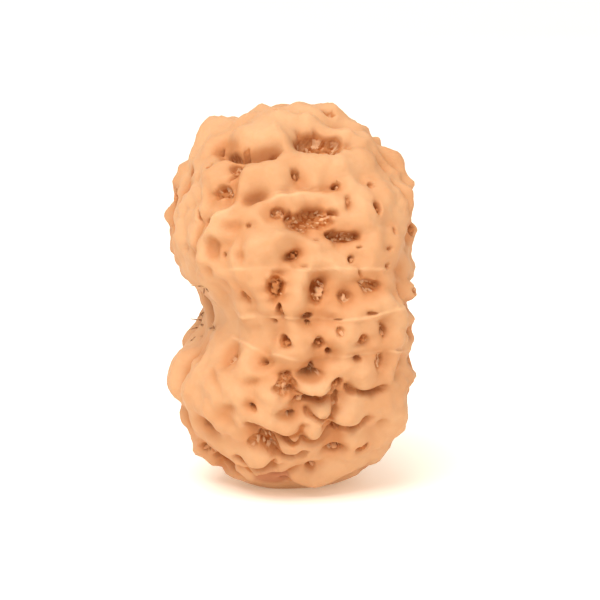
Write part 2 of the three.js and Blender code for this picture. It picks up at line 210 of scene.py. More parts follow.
def around(directions):
    return np.degrees(np.arctan2(directions[:, 2], -directions[:, 1]))


def lobe_rise(angles):
    edges = np.concatenate([[SEAMS[-1] - 360], SEAMS, [SEAMS[0] + 360]])
    lobe = np.searchsorted(edges, angles, side="right") - 1
    low, high = edges[lobe], edges[lobe + 1]
    from_middle = np.abs(2 * (angles - low) / (high - low) - 1)
    return LOBE_RISE * np.minimum(1, (high - low) / FULL_LOBE) * (1 - from_middle**LOBE_SHARP)


print(len(SEAMS), "seams, the closest pair", np.diff(SEAMS).min(), "degrees apart")

# %% [markdown]
# ## The front, as an eye sees it
#
# The forms on the front were read one by one, each as a place across and up from the seed's middle. To put
# one on the stone, the smooth body is looked at from the same spot: the point that is seen nearest to
# that place carries it. The rest of the seed gets its pits by a rule, in rows along each lobe.

# %% The eye
EYE_AWAY = 220  # mm off the seed's middle
EYE_TURN, EYE_RISE = math.radians(-13), math.radians(10)
eye_back = np.array([
    math.sin(EYE_TURN) * math.cos(EYE_RISE), -math.cos(EYE_TURN) * math.cos(EYE_RISE), math.sin(EYE_RISE),
])
eye_right = np.array([math.cos(EYE_TURN), math.sin(EYE_TURN), 0])
eye_up = np.cross(eye_back, eye_right)


def seen_from_eye(points):
    scale = EYE_AWAY / (EYE_AWAY - points @ eye_back)
    return np.stack([points @ eye_right * scale, points @ eye_up * scale], 1)


print("the eye looks from", np.round(eye_back * EYE_AWAY, 1), "mm off the seed's middle")

# %% The smooth body's points, normals and looks from the eye
def smooth_body(grid):
    directions = read_points(grid)
    points = body_points(swayed(directions))
    write_points(grid, points)
    grid.normal_update()
    normals = np.array([v.normal for v in grid.verts])
    write_points(grid, directions)
    return {"ball": directions, "point": points, "normal": normals, "seen": seen_from_eye(points)}


body = smooth_body(stone_grid)
print("the smooth body has", len(body["point"]), "points")

# %% The forms on the front
# Each is (across, up, half length, half height, turn in degrees, depth).
CAVES = [
    (-4.6, 10.9, 1.1, 0.55, -15, 0.7), (-3.5, 10.9, 0.32, 0.6, -25, 0.45), (-5.5, 8.0, 0.8, 0.6, 20, 0.8),
    (-4.4, 9.95, 0.45, 0.45, 0, 0.5), (2.2, 11.75, 2.0, 1.1, -24, 1.0), (1.4, 6.0, 1.9, 0.9, 5, 0.9),
    (-1.0, 6.5, 0.55, 0.5, 0, 0.7), (4.1, 4.7, 1.4, 0.5, -3, 0.8), (6.1, 0.8, 0.95, 0.6, -10, 0.7),
    (-0.45, -6.8, 0.9, 0.95, 0, 0.6), (-1.6, -11.5, 1.0, 0.65, -40, 0.8), (-5.25, -12.85, 1.35, 1.2, -8, 1.2),
    (-3.0, -11.4, 0.5, 0.5, 0, 0.5), (6.8, -5.2, 0.75, 0.5, 90, 0.5),
    (-8.3, 8.8, 1.25, 0.4, 72, 0.5), (3.4, -8.1, 0.95, 0.3, 90, 0.5),
]
HOLES = [
    (-6.1, 9.8, 0.45, 0.38, 90, 0.3), (-5.7, 11.3, 0.4, 0.25, 80, 0.6), (-1.55, 10.85, 0.3, 0.25, 0, 0.4),
    (0.2, 9.5, 0.4, 0.4, 0, 0.7), (3.4, 8.7, 0.4, 0.3, 10, 0.7),
    (6.2, 8.6, 0.38, 0.32, 90, 0.35), (4.3, 7.2, 0.6, 0.3, 90, 0.35), (6.5, 6.7, 0.6, 0.38, 85, 0.7),
    (8.0, 5.0, 0.4, 0.25, 80, 0.35), (7.7, 3.6, 0.25, 0.2, 0, 0.3), (7.5, 2.3, 0.25, 0.2, 0, 0.3),
    (0.3, 3.2, 0.75, 0.5, 35, 0.8), (4.6, 2.8, 0.35, 0.3, 60, 0.6), (-1.3, 0.7, 1.3, 0.8, 90, 0.95),
    (-1.0, -1.0, 0.7, 0.3, 90, 0.8), (-3.7, -0.2, 0.85, 0.35, 90, 0.5), (2.1, 0.4, 1.25, 0.7, 80, 0.85),
    (4.2, 0.0, 0.6, 0.6, 0, 0.5), (8.7, 0.1, 0.45, 0.35, 90, 0.3), (1.3, -1.5, 0.5, 0.25, 10, 0.7),
    (1.4, -2.1, 0.3, 0.22, -20, 0.5), (-1.3, -1.9, 0.3, 0.22, 0, 0.4), (6.2, -1.2, 0.45, 0.15, 0, 0.4),
    (3.8, -1.9, 0.4, 0.12, 10, 0.3), (3.8, -2.7, 0.45, 0.3, 90, 0.35), (-0.5, -3.4, 0.75, 0.5, -25, 0.8),
    (2.2, -3.5, 0.6, 0.45, -20, 0.75), (2.8, -4.3, 0.35, 0.25, -40, 0.7), (5.5, -3.3, 0.55, 0.55, 0, 0.5),
    (7.2, -2.8, 0.75, 0.42, 95, 0.5), (8.7, -2.9, 0.25, 0.2, 90, 0.3), (-4.8, -4.5, 0.7, 0.38, 85, 0.5),
    (-2.5, -4.8, 0.35, 0.3, 90, 0.5), (8.4, -5.0, 0.7, 0.3, 90, 0.4), (5.1, -4.9, 0.35, 0.22, 0, 0.5),
    (1.55, -5.8, 0.45, 0.27, 80, 0.9), (3.6, -6.8, 0.6, 0.5, 60, 0.7), (0.8, -8.15, 0.6, 0.45, 10, 0.6),
    (-0.15, -9.25, 0.4, 0.26, -15, 0.7), (-2.9, -8.6, 0.42, 0.26, -35, 0.7), (-6.8, -9.9, 0.6, 0.5, 0, 0.9),
    (3.5, -10.3, 0.45, 0.4, 0, 0.7), (5.4, -11.5, 0.6, 0.45, 70, 0.75),
    (3.2, -11.9, 0.85, 0.42, 0, 0.85), (1.4, -13.1, 0.5, 0.4, -30, 0.7), (5.7, -12.9, 0.3, 0.22, 70, 0.4),
    (-2.4, 13.8, 0.25, 0.18, 0, 0.4), (-1.2, 13.5, 0.2, 0.15, 0, 0.3), (-0.5, 13.8, 0.2, 0.15, 0, 0.3),
    (6.8, 11.7, 0.2, 0.15, 100, 0.4), (-6.7, 5.7, 0.3, 0.25, 40, 0.4), (-3.5, 5.5, 0.2, 0.2, 0, 0.3),
    (-5.5, 3.2, 0.3, 0.15, 90, 0.3),
]
SLITS = [
    (-4.5, 9.4, 0.9, 0.2, 52, 0.6), (-2.3, 10.45, 1.0, 0.2, -6, 0.45), (1.7, -6.2, 1.0, 0.22, 2, 0.7),
    (1.0, 5.3, 0.65, 0.16, 12, 0.7), (-7.3, 6.2, 0.6, 0.2, -55, 0.6), (2.8, 13.6, 0.7, 0.18, -20, 0.5),
    (1.8, -7.9, 1.7, 0.35, 8, 1.0), (6.2, -7.4, 1.5, 0.2, 5, 0.6), (0.0, -10.7, 1.1, 0.22, -8, 0.8),
    (-0.2, -12.3, 0.8, 0.2, -20, 0.5), (2.8, -9.4, 0.65, 0.3, 0, 0.6), (4.9, -10.2, 0.65, 0.22, 20, 0.7),
    (-4.6, -13.1, 0.4, 0.25, -40, 0.5), (5.2, 3.9, 0.35, 0.15, 20, 0.4),
    (2.1, 4.4, 0.35, 0.15, 10, 0.3), (0.9, 2.2, 0.35, 0.2, 0, 0.3), (-5.9, -0.4, 0.6, 0.12, 0, 0.25),
    (-6.2, -2.4, 0.8, 0.12, -20, 0.3), (5.3, 1.8, 0.5, 0.15, -60, 0.4), (-6.6, -0.9, 0.75, 0.45, 80, 0.9),
]
DENTS = [
    (-4.9, 11.45, 1.5, 0.85, -8, 0.7), (-2.4, 10.95, 1.2, 0.7, 0, 0.45), (-2.95, 7.85, 0.95, 0.42, 22, 0.7),
    (-4.9, 5.5, 1.0, 0.45, 5, 0.3), (-6.3, 3.8, 0.95, 0.6, 75, 0.8),
    (-3.7, 3.3, 1.1, 0.45, 88, 0.6), (-7.8, 3.4, 0.6, 0.35, 75, 0.4), (-6.5, 1.9, 0.6, 0.5, 60, 0.3),
    (7.2, 10.1, 0.5, 0.35, 80, 0.25), (8.5, 8.6, 0.9, 0.4, 80, 0.4), (-3.2, -6.7, 1.0, 0.35, 5, 0.35),
    (-6.0, -6.2, 1.3, 0.5, -45, 0.4), (-7.9, -6.7, 0.7, 0.3, 90, 0.25), (-4.9, -8.8, 0.85, 0.5, 15, 0.45),
    (-0.7, -9.05, 1.0, 0.4, -14, 0.6), (-3.2, -8.35, 0.5, 0.45, -30, 0.35),
    (-2.3, -10.5, 1.5, 0.9, -10, 0.45), (0.6, 14.4, 0.6, 0.2, 0, 0.25), (0.4, 13.5, 0.5, 0.2, 5, 0.25),
    (7.2, -9.7, 0.6, 0.3, 45, 0.3), (2.5, 8.5, 1.5, 0.3, 0, 0.35), (-7.0, -4.5, 0.8, 0.5, -60, 0.35),
    (-8.2, -9.8, 0.5, 0.25, 70, 0.3), (3.0, -11.2, 1.4, 0.8, -10, 0.4), (4.3, 13.9, 1.5, 1.0, -35, 0.7),
    (9.0, -0.8, 0.9, 0.5, 0, 0.35), (8.8, 2.2, 1.0, 0.7, 0, 0.35), (9.3, 5.0, 1.0, 0.8, 90, 0.5),
    (-5.9, -14.1, 1.6, 0.6, -10, 0.6), (6.2, -13.8, 1.5, 0.6, 10, 0.6), (1.8, -5.5, 0.9, 0.7, 0, 0.35),
    (1.6, -6.0, 1.0, 0.55, -8, 0.9), (-5.2, -9.2, 1.4, 0.9, 20, 0.4), (-8.8, -8.9, 0.9, 0.7, 0, 0.35),
    (-4.8, -4.4, 0.9, 0.8, 80, 0.3), (-7.1, -4.0, 0.9, 0.7, 60, 0.3),
]
CREASES = [
    (-4.55, 8.45, 1.6, 0.4, 79, 0.5), (-7.5, 4.15, 1.5, 0.4, 73, 0.45), (7.3, 10.5, 1.4, 0.4, -60, 0.55),
    (8.45, 7.6, 1.9, 0.4, -75, 0.55), (-8.15, -5.6, 2.7, 0.45, 83, 0.45), (-1.9, -12.85, 1.7, 0.3, 13, 0.5),
    (1.9, -14.0, 1.5, 0.3, -12, 0.3),
]
KNOBS = [
    (2.2, 4.0, 1.7, 0.45, 15, 0.3), (-6.2, 9.2, 0.9, 0.6, -20, 0.25), (9.3, 0.35, 0.9, 0.7, 0, 0.85),
    (9.3, -1.8, 0.9, 0.7, 0, 0.6), (9.2, -5.8, 1.3, 1.2, 0, 0.65), (-7.4, 11.8, 2.4, 1.8, 50, 0.6),
    (-8.7, -5.8, 2.4, 1.5, 85, 0.7), (-8.8, 4.6, 1.6, 1.0, 80, 0.3), (-6.9, 2.4, 0.9, 0.7, 50, 0.3),
    (-7.7, -11.8, 1.3, 1.0, 0, 0.5), (-7.9, -10.4, 1.0, 0.8, 0, 0.4),
    (8.3, 9.4, 2.2, 1.4, -65, 0.65), (-5.6, 13.3, 1.6, 1.0, 25, 0.45),
]
FLAPS = [
    (1.65, -6.95, 1.35, 0.65, 4, 0.7), (2.4, -8.5, 0.85, 0.65, 0, 0.7), (4.6, -9.3, 1.35, 0.85, 0, 0.5),
    (-1.3, -9.6, 1.7, 0.9, -12, 0.6), (1.9, -10.0, 0.9, 1.0, 0, 0.5), (-0.3, -11.3, 1.0, 0.95, -35, 0.5),
    (-3.0, -12.2, 1.15, 0.9, 5, 0.5), (-1.6, -13.1, 1.5, 0.8, 8, 0.35), (2.2, -13.6, 2.0, 1.2, 0, 0.5),
    (-3.6, 11.9, 1.9, 1.1, -10, 0.4), (6.2, -6.75, 1.2, 0.6, 5, 0.22),
]
FOOT_OVAL = [(-1.5, -13.85, 1.4, 1.45, 4, 0.25)]
print(len(CAVES), "caves,", len(HOLES), "holes,", len(SLITS), "slits and", len(DENTS), "dents on the front")

# %% The pale lips
# Each is the line's points (across, up), from left to right, then its half width and its height.
LIPS = [
    ([(-4.9, -1.0), (-4.4, -1.15), (-1.7, -1.6), (4.1, -1.85), (6.0, -1.5), (9.1, -0.7)], 0.09, 0.07),
    ([(-4.7, -3.0), (-2.1, -4.4), (0.6, -4.85)], 0.1, 0.08),
    ([(-5.6, 2.0), (-2.1, 2.25), (0.6, 2.05), (3.1, 2.15), (7.3, 2.1)], 0.1, 0.05),
    ([(2.6, -4.85), (7.2, -4.25), (9.1, -4.3)], 0.09, 0.07),
    ([(-6.8, 5.0), (-5.8, 6.3), (-4.4, 7.2), (-1.5, 7.5), (0.0, 7.85), (2.2, 8.0)], 0.2, 0.15),
]
print(len(LIPS), "lips")

# %% [markdown]
# ## Laying a form on the surface
#
# A form is an ellipse in the plane that touches the stone at its centre. Its own three directions are
# kept with it: the stone's outward direction there, and the ellipse's long and short directions.

# %% A form's place and directions
FACING = 0.02  # the cosine of the steepest skin that carries a form


def form_at(kind, index, upward, shape):
    half_long, half_high, turn, depth = shape
    normal = body["normal"][index]
    side = unit(np.cross(upward, normal))
    turn, surface_up = math.radians(turn), np.cross(normal, side)
    along = math.cos(turn) * side + math.sin(turn) * surface_up
    return {
        "kind": kind, "centre": body["point"][index], "up": surface_up, "along": along,
        "across": np.cross(normal, along), "turn": turn, "long": half_long, "high": half_high, "depth": depth,
    }


def point_at(across, up, least):
    """The point seen nearest to a place, of those that face the eye by at least so much."""
    off = ((body["seen"] - (across, up)) ** 2).sum(1)
    return np.where(body["normal"] @ eye_back > least, off, np.inf).argmin()


def forms_on_front(kind, rows):
    return [form_at(kind, point_at(across, up, FACING), eye_up, shape) for across, up, *shape in rows]


front_kinds = {"cave": CAVES, "hole": HOLES, "slit": SLITS, "dent": DENTS, "crease": CREASES, "foot_oval": FOOT_OVAL}
pits = [form for kind, rows in front_kinds.items() for form in forms_on_front(kind, rows)]
bulges = forms_on_front("knob", KNOBS) + forms_on_front("flap", FLAPS)
print(len(pits), "pits and", len(bulges), "knobs and flaps laid on the front")

# %% Pits by rule on the rest of the seed
PIT_ROWS = {
    "start": 7, "first": 24, "later": 8,  # a row's first pit is 24 to 32 degrees from the pole
    "apart": 2.3, "uneven": (0.85, 1.2),  # the gap between pits in mm, and how much it varies
    "sway": 0.26, "cave_share": 0.16, "front_facing": 0.2,
}
RULE_PITS = {  # a cave lies level and a hole stands upright, and a hole's size leaves room for its hollow
    "cave": {
        "size": 1, "long": (1.1, 1.9), "high": (0.7, 1),
        "lean": 0, "turn": (-30, 30), "depth": (0.7, 1),
    },
    "hole": {
        "size": 0.7, "long": (0.7, 1.2), "high": (0.5, 0.75),
        "lean": 90, "turn": (-25, 25), "depth": (0.4, 0.8),
    },
}


def pits_by_rule():
    draw = Draw(PIT_ROWS["start"])
    made = []
    for low, high in zip(SEAMS, [*SEAMS[1:], SEAMS[0] + 360]):
        polar = PIT_ROWS["first"] + draw(0, PIT_ROWS["later"])
        while polar < 180 - PIT_ROWS["first"]:
            angle = math.radians((low + high) / 2 + (high - low) * draw(-PIT_ROWS["sway"], PIT_ROWS["sway"]))
            out = math.sin(math.radians(polar))
            ball = np.array([[-math.cos(math.radians(polar)), -out * math.cos(angle), out * math.sin(angle)]])
            point = body_points(swayed(ball))[0]
            index = ((body["point"] - point) ** 2).sum(1).argmin()
            kind = "cave" if draw(0, 1) < PIT_ROWS["cave_share"] else "hole"
            rule = RULE_PITS[kind]
            half_long, half_high = (rule["size"] * draw(*rule[way]) for way in ("long", "high"))
            turn, depth = rule["lean"] + draw(*rule["turn"]), draw(*rule["depth"])
            if body["normal"][index] @ eye_back < PIT_ROWS["front_facing"]:
                upward = unit(np.array([0, point[2], -point[1]]))
                made.append(form_at(kind, index, upward, (half_long, half_high, turn, depth)))
            step = PIT_ROWS["apart"] * draw(*PIT_ROWS["uneven"]) + (half_long if kind == "cave" else 0)
            polar += math.degrees(step / np.linalg.norm(point))
    return made


pits += pits_by_rule()
print(len(pits), "pits in all")

# %% [markdown]
# ## Profiles of the pits and bulges
#
# Each kind has its own profile. A cave has a ragged outline and a broad floor. A hole has a steep wall.
# A slit is a crack that is deepest in its middle, and a dent is a shallow bowl with no edge. On the real
# stone a pit runs in steeply under its upper side and comes out gently on its lower one. A flap is the
# other way round: it grows out of the stone gently from above and ends in a round lip below.

# %% How much of its depth a form has at each point
PROFILES = {  # the floor's end and the wall's end above, the same below, and how ragged
    "cave": (0.75, 1.1, 0.3, 1.2, 0.17), "hole": (0.4, 1.15, 0.1, 1.35, 0.12),
    "slit": (0.35, 1.15, 0, 1.3, 0.1), "dent": (0.1, 1.5, 0.1, 1.5, 0), "crease": (0.1, 1.4, 0.1, 1.4, 0),
    "foot_oval": (0.8, 1.1, 0.8, 1.1, 0), "knob": (0.25, 1.5, 0.25, 1.5, 0), "flap": (0.0, 1.5, 0.65, 1.18, 0.05),
}
REACH = 1.7  # no form reaches further than this many times its longer half
LOWER_SIDE = (-0.4, 0.8)  # where a form's lower side starts and is full, in half heights below its middle
OVERLAP = 4  # the higher this power, the more sharply the deeper of two pits wins


def spread(form, points, margin=0.0):
    """The points near a form, and how far along, across and up they are from its centre."""
    off = points - form["centre"]
    near = np.flatnonzero((off**2).sum(1) < (REACH * max(form["long"], form["high"]) + margin) ** 2)
    return near, off[near] @ form["along"], off[near] @ form["across"], off[near] @ form["up"]


def share_of(form, points, uneven):
    near, along, across, up = spread(form, points)
    floor_above, end_above, floor_below, end_below, rag = PROFILES[form["kind"]]
    ring = np.hypot(along / form["long"], across / form["high"]) * (1 + rag * uneven[near])
    below = ease(-up / form["high"], *LOWER_SIDE)
    floor = floor_above + (floor_below - floor_above) * below
    end = end_above + (end_below - end_above) * below
    return near, 1 - ease(ring, floor, end)


def pitted(points, only):
    """The depth of the pits of some kinds, where the deeper of two that overlap wins softly."""
    uneven = np.tanh(ragged(points))
    total = np.zeros(len(points))
    for form in pits:
        if form["kind"] in only:
            near, share = share_of(form, points, uneven)
            total[near] += (form["depth"] * share) ** OVERLAP
    return total ** (1 / OVERLAP)


SHARP, SOFT = ("cave", "hole", "slit"), ("dent", "crease", "foot_oval")
print("deepest pit", round(pitted(body["point"], SHARP).max(), 2), "mm")

# %% The hollow round each pit
HOLLOW_ROUND = {"deep": 0.38, "reach": 1.3, "full_from": 0.6, "overlap": 3}


def hollows(points):
    """The net sinks softly towards each pit, which leaves rounded ridges between the pits."""
    total = np.zeros(len(points))
    for form in pits:
        if form["kind"] in ("cave", "hole"):
            near, along, across, _ = spread(form, points, HOLLOW_ROUND["reach"])
            ring = np.hypot(along / form["long"], across / form["high"])
            away = np.hypot(along, across) * (1 - 1 / np.maximum(ring, 1))
            share = 1 - ease(away, 0, HOLLOW_ROUND["reach"])
            share *= min(1, form["depth"] / HOLLOW_ROUND["full_from"])
            total[near] += share ** HOLLOW_ROUND["overlap"]
    return HOLLOW_ROUND["deep"] * total ** (1 / HOLLOW_ROUND["overlap"])


print("the hollows are up to", round(hollows(body["point"]).max(), 2), "mm deep")

# %% [markdown]
# ## Finer squares where the pits are
#
# The net between the pits is smooth, so its squares can stay as they are. The pits have steep walls and
# crumbs, and the flaps' crevices and the pale lips are narrow, so each square that touches one of them is
# cut into four on the ball, before any relief is added. The pits' floors are cut once more.

# %% Cut the squares in the pits, under the flaps and along the lips
CREVICE = {"ring": 1.35, "half": 0.3, "lower": (0.1, 0.7), "ragged": 0.05, "deep": 0.55}
LIP_SHOWS = {  # where a lip fades on skin that turns away, breaks off in patches and runs out at its ends
    "facing": (0.05, 0.25), "patches": (-0.9, 0.5), "least": 0.25, "before": 0.2, "past": 0.5, "ragged": 0.03,
}
CUT_FROM = {"pit": 0.05, "crevice": 0.3, "lip_share": 0.1, "lip_width": 1.4}  # where squares are cut in four
FLOOR_FROM = 0.25  # mm; a pit this deep has a floor that is cut once more


def cut_finer(grid, wanted):
    grid.verts.ensure_lookup_table()
    faces = [f for v in np.flatnonzero(wanted) for f in grid.verts[v].link_faces]
    edges = dict.fromkeys(e for f in faces for e in f.edges)
    bmesh.ops.subdivide_edges(grid, edges=list(edges), cuts=1, use_grid_fill=True)
    write_points(grid, unit(read_points(grid)))
    return smooth_body(grid)


def under_flaps(points):
    """1 in the crevice along a flap's lower edge."""
    total = np.zeros(len(points))
    for form in bulges:
        if form["kind"] == "flap":
            near, along, across, up = spread(form, points)
            ring = np.hypot(along / form["long"], across / form["high"])
            ring *= 1 + CREVICE["ragged"] * ragged(points[near])
            share = bell(ring - CREVICE["ring"], CREVICE["half"])
            share *= ease(-up / form["high"], *CREVICE["lower"])
            total[near] = np.maximum(total[near], share)
    return total


def lip_offs(body):
    """For each lip, how far over it each point is seen, and how much of the lip is there."""
    x, y = body["seen"].T
    least, before, past = (LIP_SHOWS[name] for name in ("least", "before", "past"))
    patches = least + (1 - least) * ease(small_lumps(body["point"]), *LIP_SHOWS["patches"])
    shows = ease(body["normal"] @ eye_back, *LIP_SHOWS["facing"]) * patches
    sway = LIP_SHOWS["ragged"] * ragged(body["point"])
    for line, half, high in LIPS:
        across, up = np.array(line).T
        ends = ease(x, across[0] - before, across[0] + past)
        ends *= 1 - ease(x, across[-1] - past, across[-1] + before)
        yield y - np.interp(x, across, up) - sway, shows * ends, half, high


def wants_finer(body):
    fine = pitted(body["point"], SHARP) > CUT_FROM["pit"]
    fine |= under_flaps(body["point"]) > CUT_FROM["crevice"]
    for off, share, half, _ in lip_offs(body):
        fine |= (np.abs(off) < CUT_FROM["lip_width"] * half) & (share > CUT_FROM["lip_share"])
    return fine


body = cut_finer(stone_grid, wants_finer(body))
print("after the first round:", len(stone_grid.faces), "faces")
body = cut_finer(stone_grid, pitted(body["point"], ("cave", "hole")) > FLOOR_FROM)
triangles = sum(len(f.verts) - 2 for f in stone_grid.faces)
print("the stone now has", len(stone_grid.faces), "faces, or", triangles, "triangles")

# %% [markdown]
# ## Kernels and crumbs
#
# Many holes hold one kernel near their lower right, with a dark gap over it. The floors of the caves and
# of the widest holes are covered with hardened crumbs of pulp and stone. Each is a low dome, bent out of
# round by waves, and has its own tone, from brown to pale.

# %% Lay the kernels and crumbs on the pits' floors
CRUMBS = {
    "start": 61, "room": 0.035,  # square mm of a cave's floor for each crumb
    "hole_room": 4, "hole_from": 0.45,  # a hole gives each crumb more room, and only a long one has crumbs
    "half": (0.09, 0.24), "squat": (0.6, 1), "rise": 0.65,
}
KERNEL = {
    "from": 0.27, "share": 0.45, "uneven": (0.7, 1.2),  # the smallest hole with one, and its share of it
    "right": 0.45, "down": 0.35, "aside": (-0.2, 1), "rise": 0.7, "tone": (0.2, 0.9),
}
GRAIN_BENT = 0.35
GRAINS_INSIDE = (0.25, 0.8)  # how deep into a pit's wall the grains start and are full, as a share
crinkled = wave_trains(37, 40, 0.36)


def grains_in(form, draw):
    """Each grain as (along, across, half length, half height, rise, tone), in mm."""
    if form["kind"] == "cave" or form["long"] > CRUMBS["hole_from"]:
        room = CRUMBS["room"] * (CRUMBS["hole_room"] if form["kind"] == "hole" else 1)
        for _ in range(int(math.pi * form["long"] * form["high"] / room)):
            turn, far, half = draw(0, 2 * math.pi), math.sqrt(draw(0, 1)), draw(*CRUMBS["half"])
            along, across = far * math.cos(turn) * form["long"], far * math.sin(turn) * form["high"]
            yield along, across, half, half * draw(*CRUMBS["squat"]), CRUMBS["rise"] * half, draw(0, 1)
    if form["kind"] == "hole" and form["high"] > KERNEL["from"]:
        right, down = (KERNEL[way] * draw(*KERNEL["aside"]) * form["high"] for way in ("right", "down"))
        sine, cosine = math.sin(form["turn"]), math.cos(form["turn"])
        share = KERNEL["share"] * draw(*KERNEL["uneven"])
        yield (
            right * cosine - down * sine, -right * sine - down * cosine,
            share * form["long"], share * form["high"], KERNEL["rise"] * form["depth"], draw(*KERNEL["tone"]),
        )


def lay_grains(points):
    draw = Draw(CRUMBS["start"])
    lift, dome, tone, count = *np.zeros((3, len(points))), 0
    bent, uneven = 1 + GRAIN_BENT * np.tanh(crinkled(points)), np.tanh(ragged(points))
    for form in pits:
        near, along, across, _ = spread(form, points)
        inside = ease(share_of(form, points, uneven)[1], *GRAINS_INSIDE)
        for at_along, at_across, half_long, half_high, rise, grey in grains_in(form, draw):
            off = np.hypot((along - at_along) / half_long, (across - at_across) / half_high) * bent[near]
            share = np.sqrt(np.clip(1 - off**2, 0, 1)) * inside
            higher = rise * share > lift[near]
            won = near[higher]
            lift[won], dome[won], tone[won] = rise * share[higher], share[higher], grey
            count += 1
    return lift, dome, tone, count


grain, grain_dome, grain_tone, grain_count = lay_grains(body["point"])
print(grain_count, "kernels and crumbs, the highest", round(grain.max(), 2), "mm")

# %% [markdown]
# ## All the relief together
#
# The smooth body is pushed out along its own outward directions by the lobes, lumps, knobs and flaps, and
# in by the hollows, pits and crevices. The lobes end short of the poles. Near the flat spot all relief
# fades out, and nothing is left below the spot.

# %% Push the relief out
PORE = {"depth": 1.5, "floor": 0.24, "end": 1.6}  # mm, its floor and its end off the pole
FOOT_CALM = (0.1, 1.9)  # the heights in mm where the relief starts and is full
FOOT_QUIET = {"least": 0.45, "heights": (1, 7)}
NOTCH_QUIET = {"least": 0.5, "half": 4, "side": (0, 0.3), "ring": (0.45, 0.95)}
LOBES_RING = (0.6, 1)  # on the unit ball, where the lobes start and are full off the poles
WAVES = {"broad": 0.17, "small": 0.19, "ragged": 0.06}
LIP_GROOVE = {"deep": 0.7, "over": 2.2, "half": 1.3}  # as shares of the lip's height and half width
LIP_ENDS_IN_PIT, GRAINS_IN_PIT = (0.05, 0.25), (0.08, 0.3)  # mm of depth
GRAIN_TOP = 0.85  # no grain fills more of its pit than this


def at_pore(ball):
    ring = np.hypot(ball[:, 1], ball[:, 2]) * HALF[1]
    return 1 - ease(ring, PORE["floor"], PORE["end"])


def lip_relief(body):
    """A fine ridge along each lip, with a shallow groove over it."""
    total = np.zeros(len(body["point"]))
    for off, share, half, high in lip_offs(body):
        groove = bell(off - LIP_GROOVE["over"] * half, LIP_GROOVE["half"] * half)
        total += share * high * (bell(off, half) - LIP_GROOVE["deep"] * groove)
    return total


def quiet(body):
    """How much is left of the lobes and lumps towards the foot, and of the lumps in the notch."""
    ball, points = body["ball"], body["point"]
    ring = np.hypot(ball[:, 1], ball[:, 2])
    at_foot = 1 - ease(points[:, 2] + MIDDLE_UP, *FOOT_QUIET["heights"])
    at_notch = bell(points[:, 2] - NOTCH["up"], NOTCH_QUIET["half"])
    at_notch *= ease(-ball[:, 0], *NOTCH_QUIET["side"]) * (1 - ease(ring, *NOTCH_QUIET["ring"]))
    return 1 - (1 - FOOT_QUIET["least"]) * at_foot, 1 - (1 - NOTCH_QUIET["least"]) * at_notch


def relief_of(body):
    ball, points = body["ball"], body["point"]
    uneven = np.tanh(ragged(points))
    foot_share, notch_share = quiet(body)
    total = lobe_rise(around(ball)) * ease(np.hypot(ball[:, 1], ball[:, 2]), *LOBES_RING)
    waves = WAVES["broad"] * broad_lumps(points) + WAVES["small"] * small_lumps(points)
    total += notch_share * (waves + WAVES["ragged"] * ragged(points))
    total *= foot_share
    for form in bulges:
        near, share = share_of(form, points, uneven)
        total[near] += form["depth"] * share
    total -= foot_share * hollows(points) + pitted(points, SOFT) + CREVICE["deep"] * under_flaps(points)
    sharp = pitted(points, SHARP)
    total += lip_relief(body) * (1 - ease(sharp, *LIP_ENDS_IN_PIT))
    total += np.minimum(grain * ease(sharp, *GRAINS_IN_PIT), GRAIN_TOP * sharp) - sharp
    return total - PORE["depth"] * at_pore(ball), sharp


relief, sharp = relief_of(body)
calm = ease(body["point"][:, 2] + MIDDLE_UP, *FOOT_CALM)
points = body["point"] + body["normal"] * (relief * calm)[:, None]
points[:, 2] = np.maximum(0, points[:, 2] + MIDDLE_UP)
print("relief from", round(relief.min(), 2), "to", round(relief.max(), 2), "mm")

# %% The stone as an object, in metres
def object_from(grid, name):
    """A smooth-shaded object with the grid's mesh."""
    mesh = bpy.data.meshes.new(name)
    grid.to_mesh(mesh)
    mesh.shade_smooth()
    made = bpy.data.objects.new(name, mesh)
    bpy.context.scene.collection.objects.link(made)
    return made


write_points(stone_grid, points / 1000)
stone = object_from(stone_grid, "seed_surface")
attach(stone, "root")
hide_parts("seed_stone")
print(stone.name, "measures", *[round(d * 1000, 2) for d in stone.dimensions], "mm")

# %% [markdown]
# ## The stalk's last fibres
#
# The seed grew on a stalk at the notch, and a few dry fibres of it are left there. Each is a thin cone,
# cut into rings along its length and bent to a soft curve, with its thick end in the stone.

# %% Fibres in the notch
# Each is (across, up) where it starts, (right, up, outward) where it points, its length and its bend.
FIBRES = [
    (-6.7, 0.8, -0.95, 0.2, 0.1, 1.0, 0.2), (-6.5, 0.75, 0.8, -0.4, 0.3, 0.5, -0.3),
    (-6.9, 0.6, -0.1, -1.0, 0.2, 0.9, 0.2), (-7.0, -1.7, -0.95, 0.1, 0.2, 1.1, 0.3),
    (-7.1, -2.0, -0.9, -0.3, 0.2, 1.3, 0.3), (-6.9, -1.6, -0.6, 0.6, 0.3, 0.8, -0.3),
    (-6.9, -2.1, 0.9, -0.3, 0.3, 1.4, -0.25), (-6.2, -2.4, 0.95, -0.2, 0.3, 1.0, -0.3),
    (-5.9, -2.5, 0.3, 0.9, 0.35, 0.6, 0.3), (-5.8, -2.6, 0.9, -0.5, 0.3, 0.6, -0.2),
    (-7.2, -2.9, 0.9, -0.1, 0.3, 0.6, -0.3), (-7.6, -3.2, -0.6, -0.7, 0.3, 0.5, 0.2),
    (-6.6, -1.2, -0.5, -0.8, 0.4, 0.8, 0.2), (-7.0, -2.3, 0.5, -0.8, 0.3, 0.7, 0.3),
]
FIBRE = {"half": 0.08, "tip": 0.35, "sides": 6, "cuts": 7, "sunk": 0.1}  # mm, the tip as a share of the half


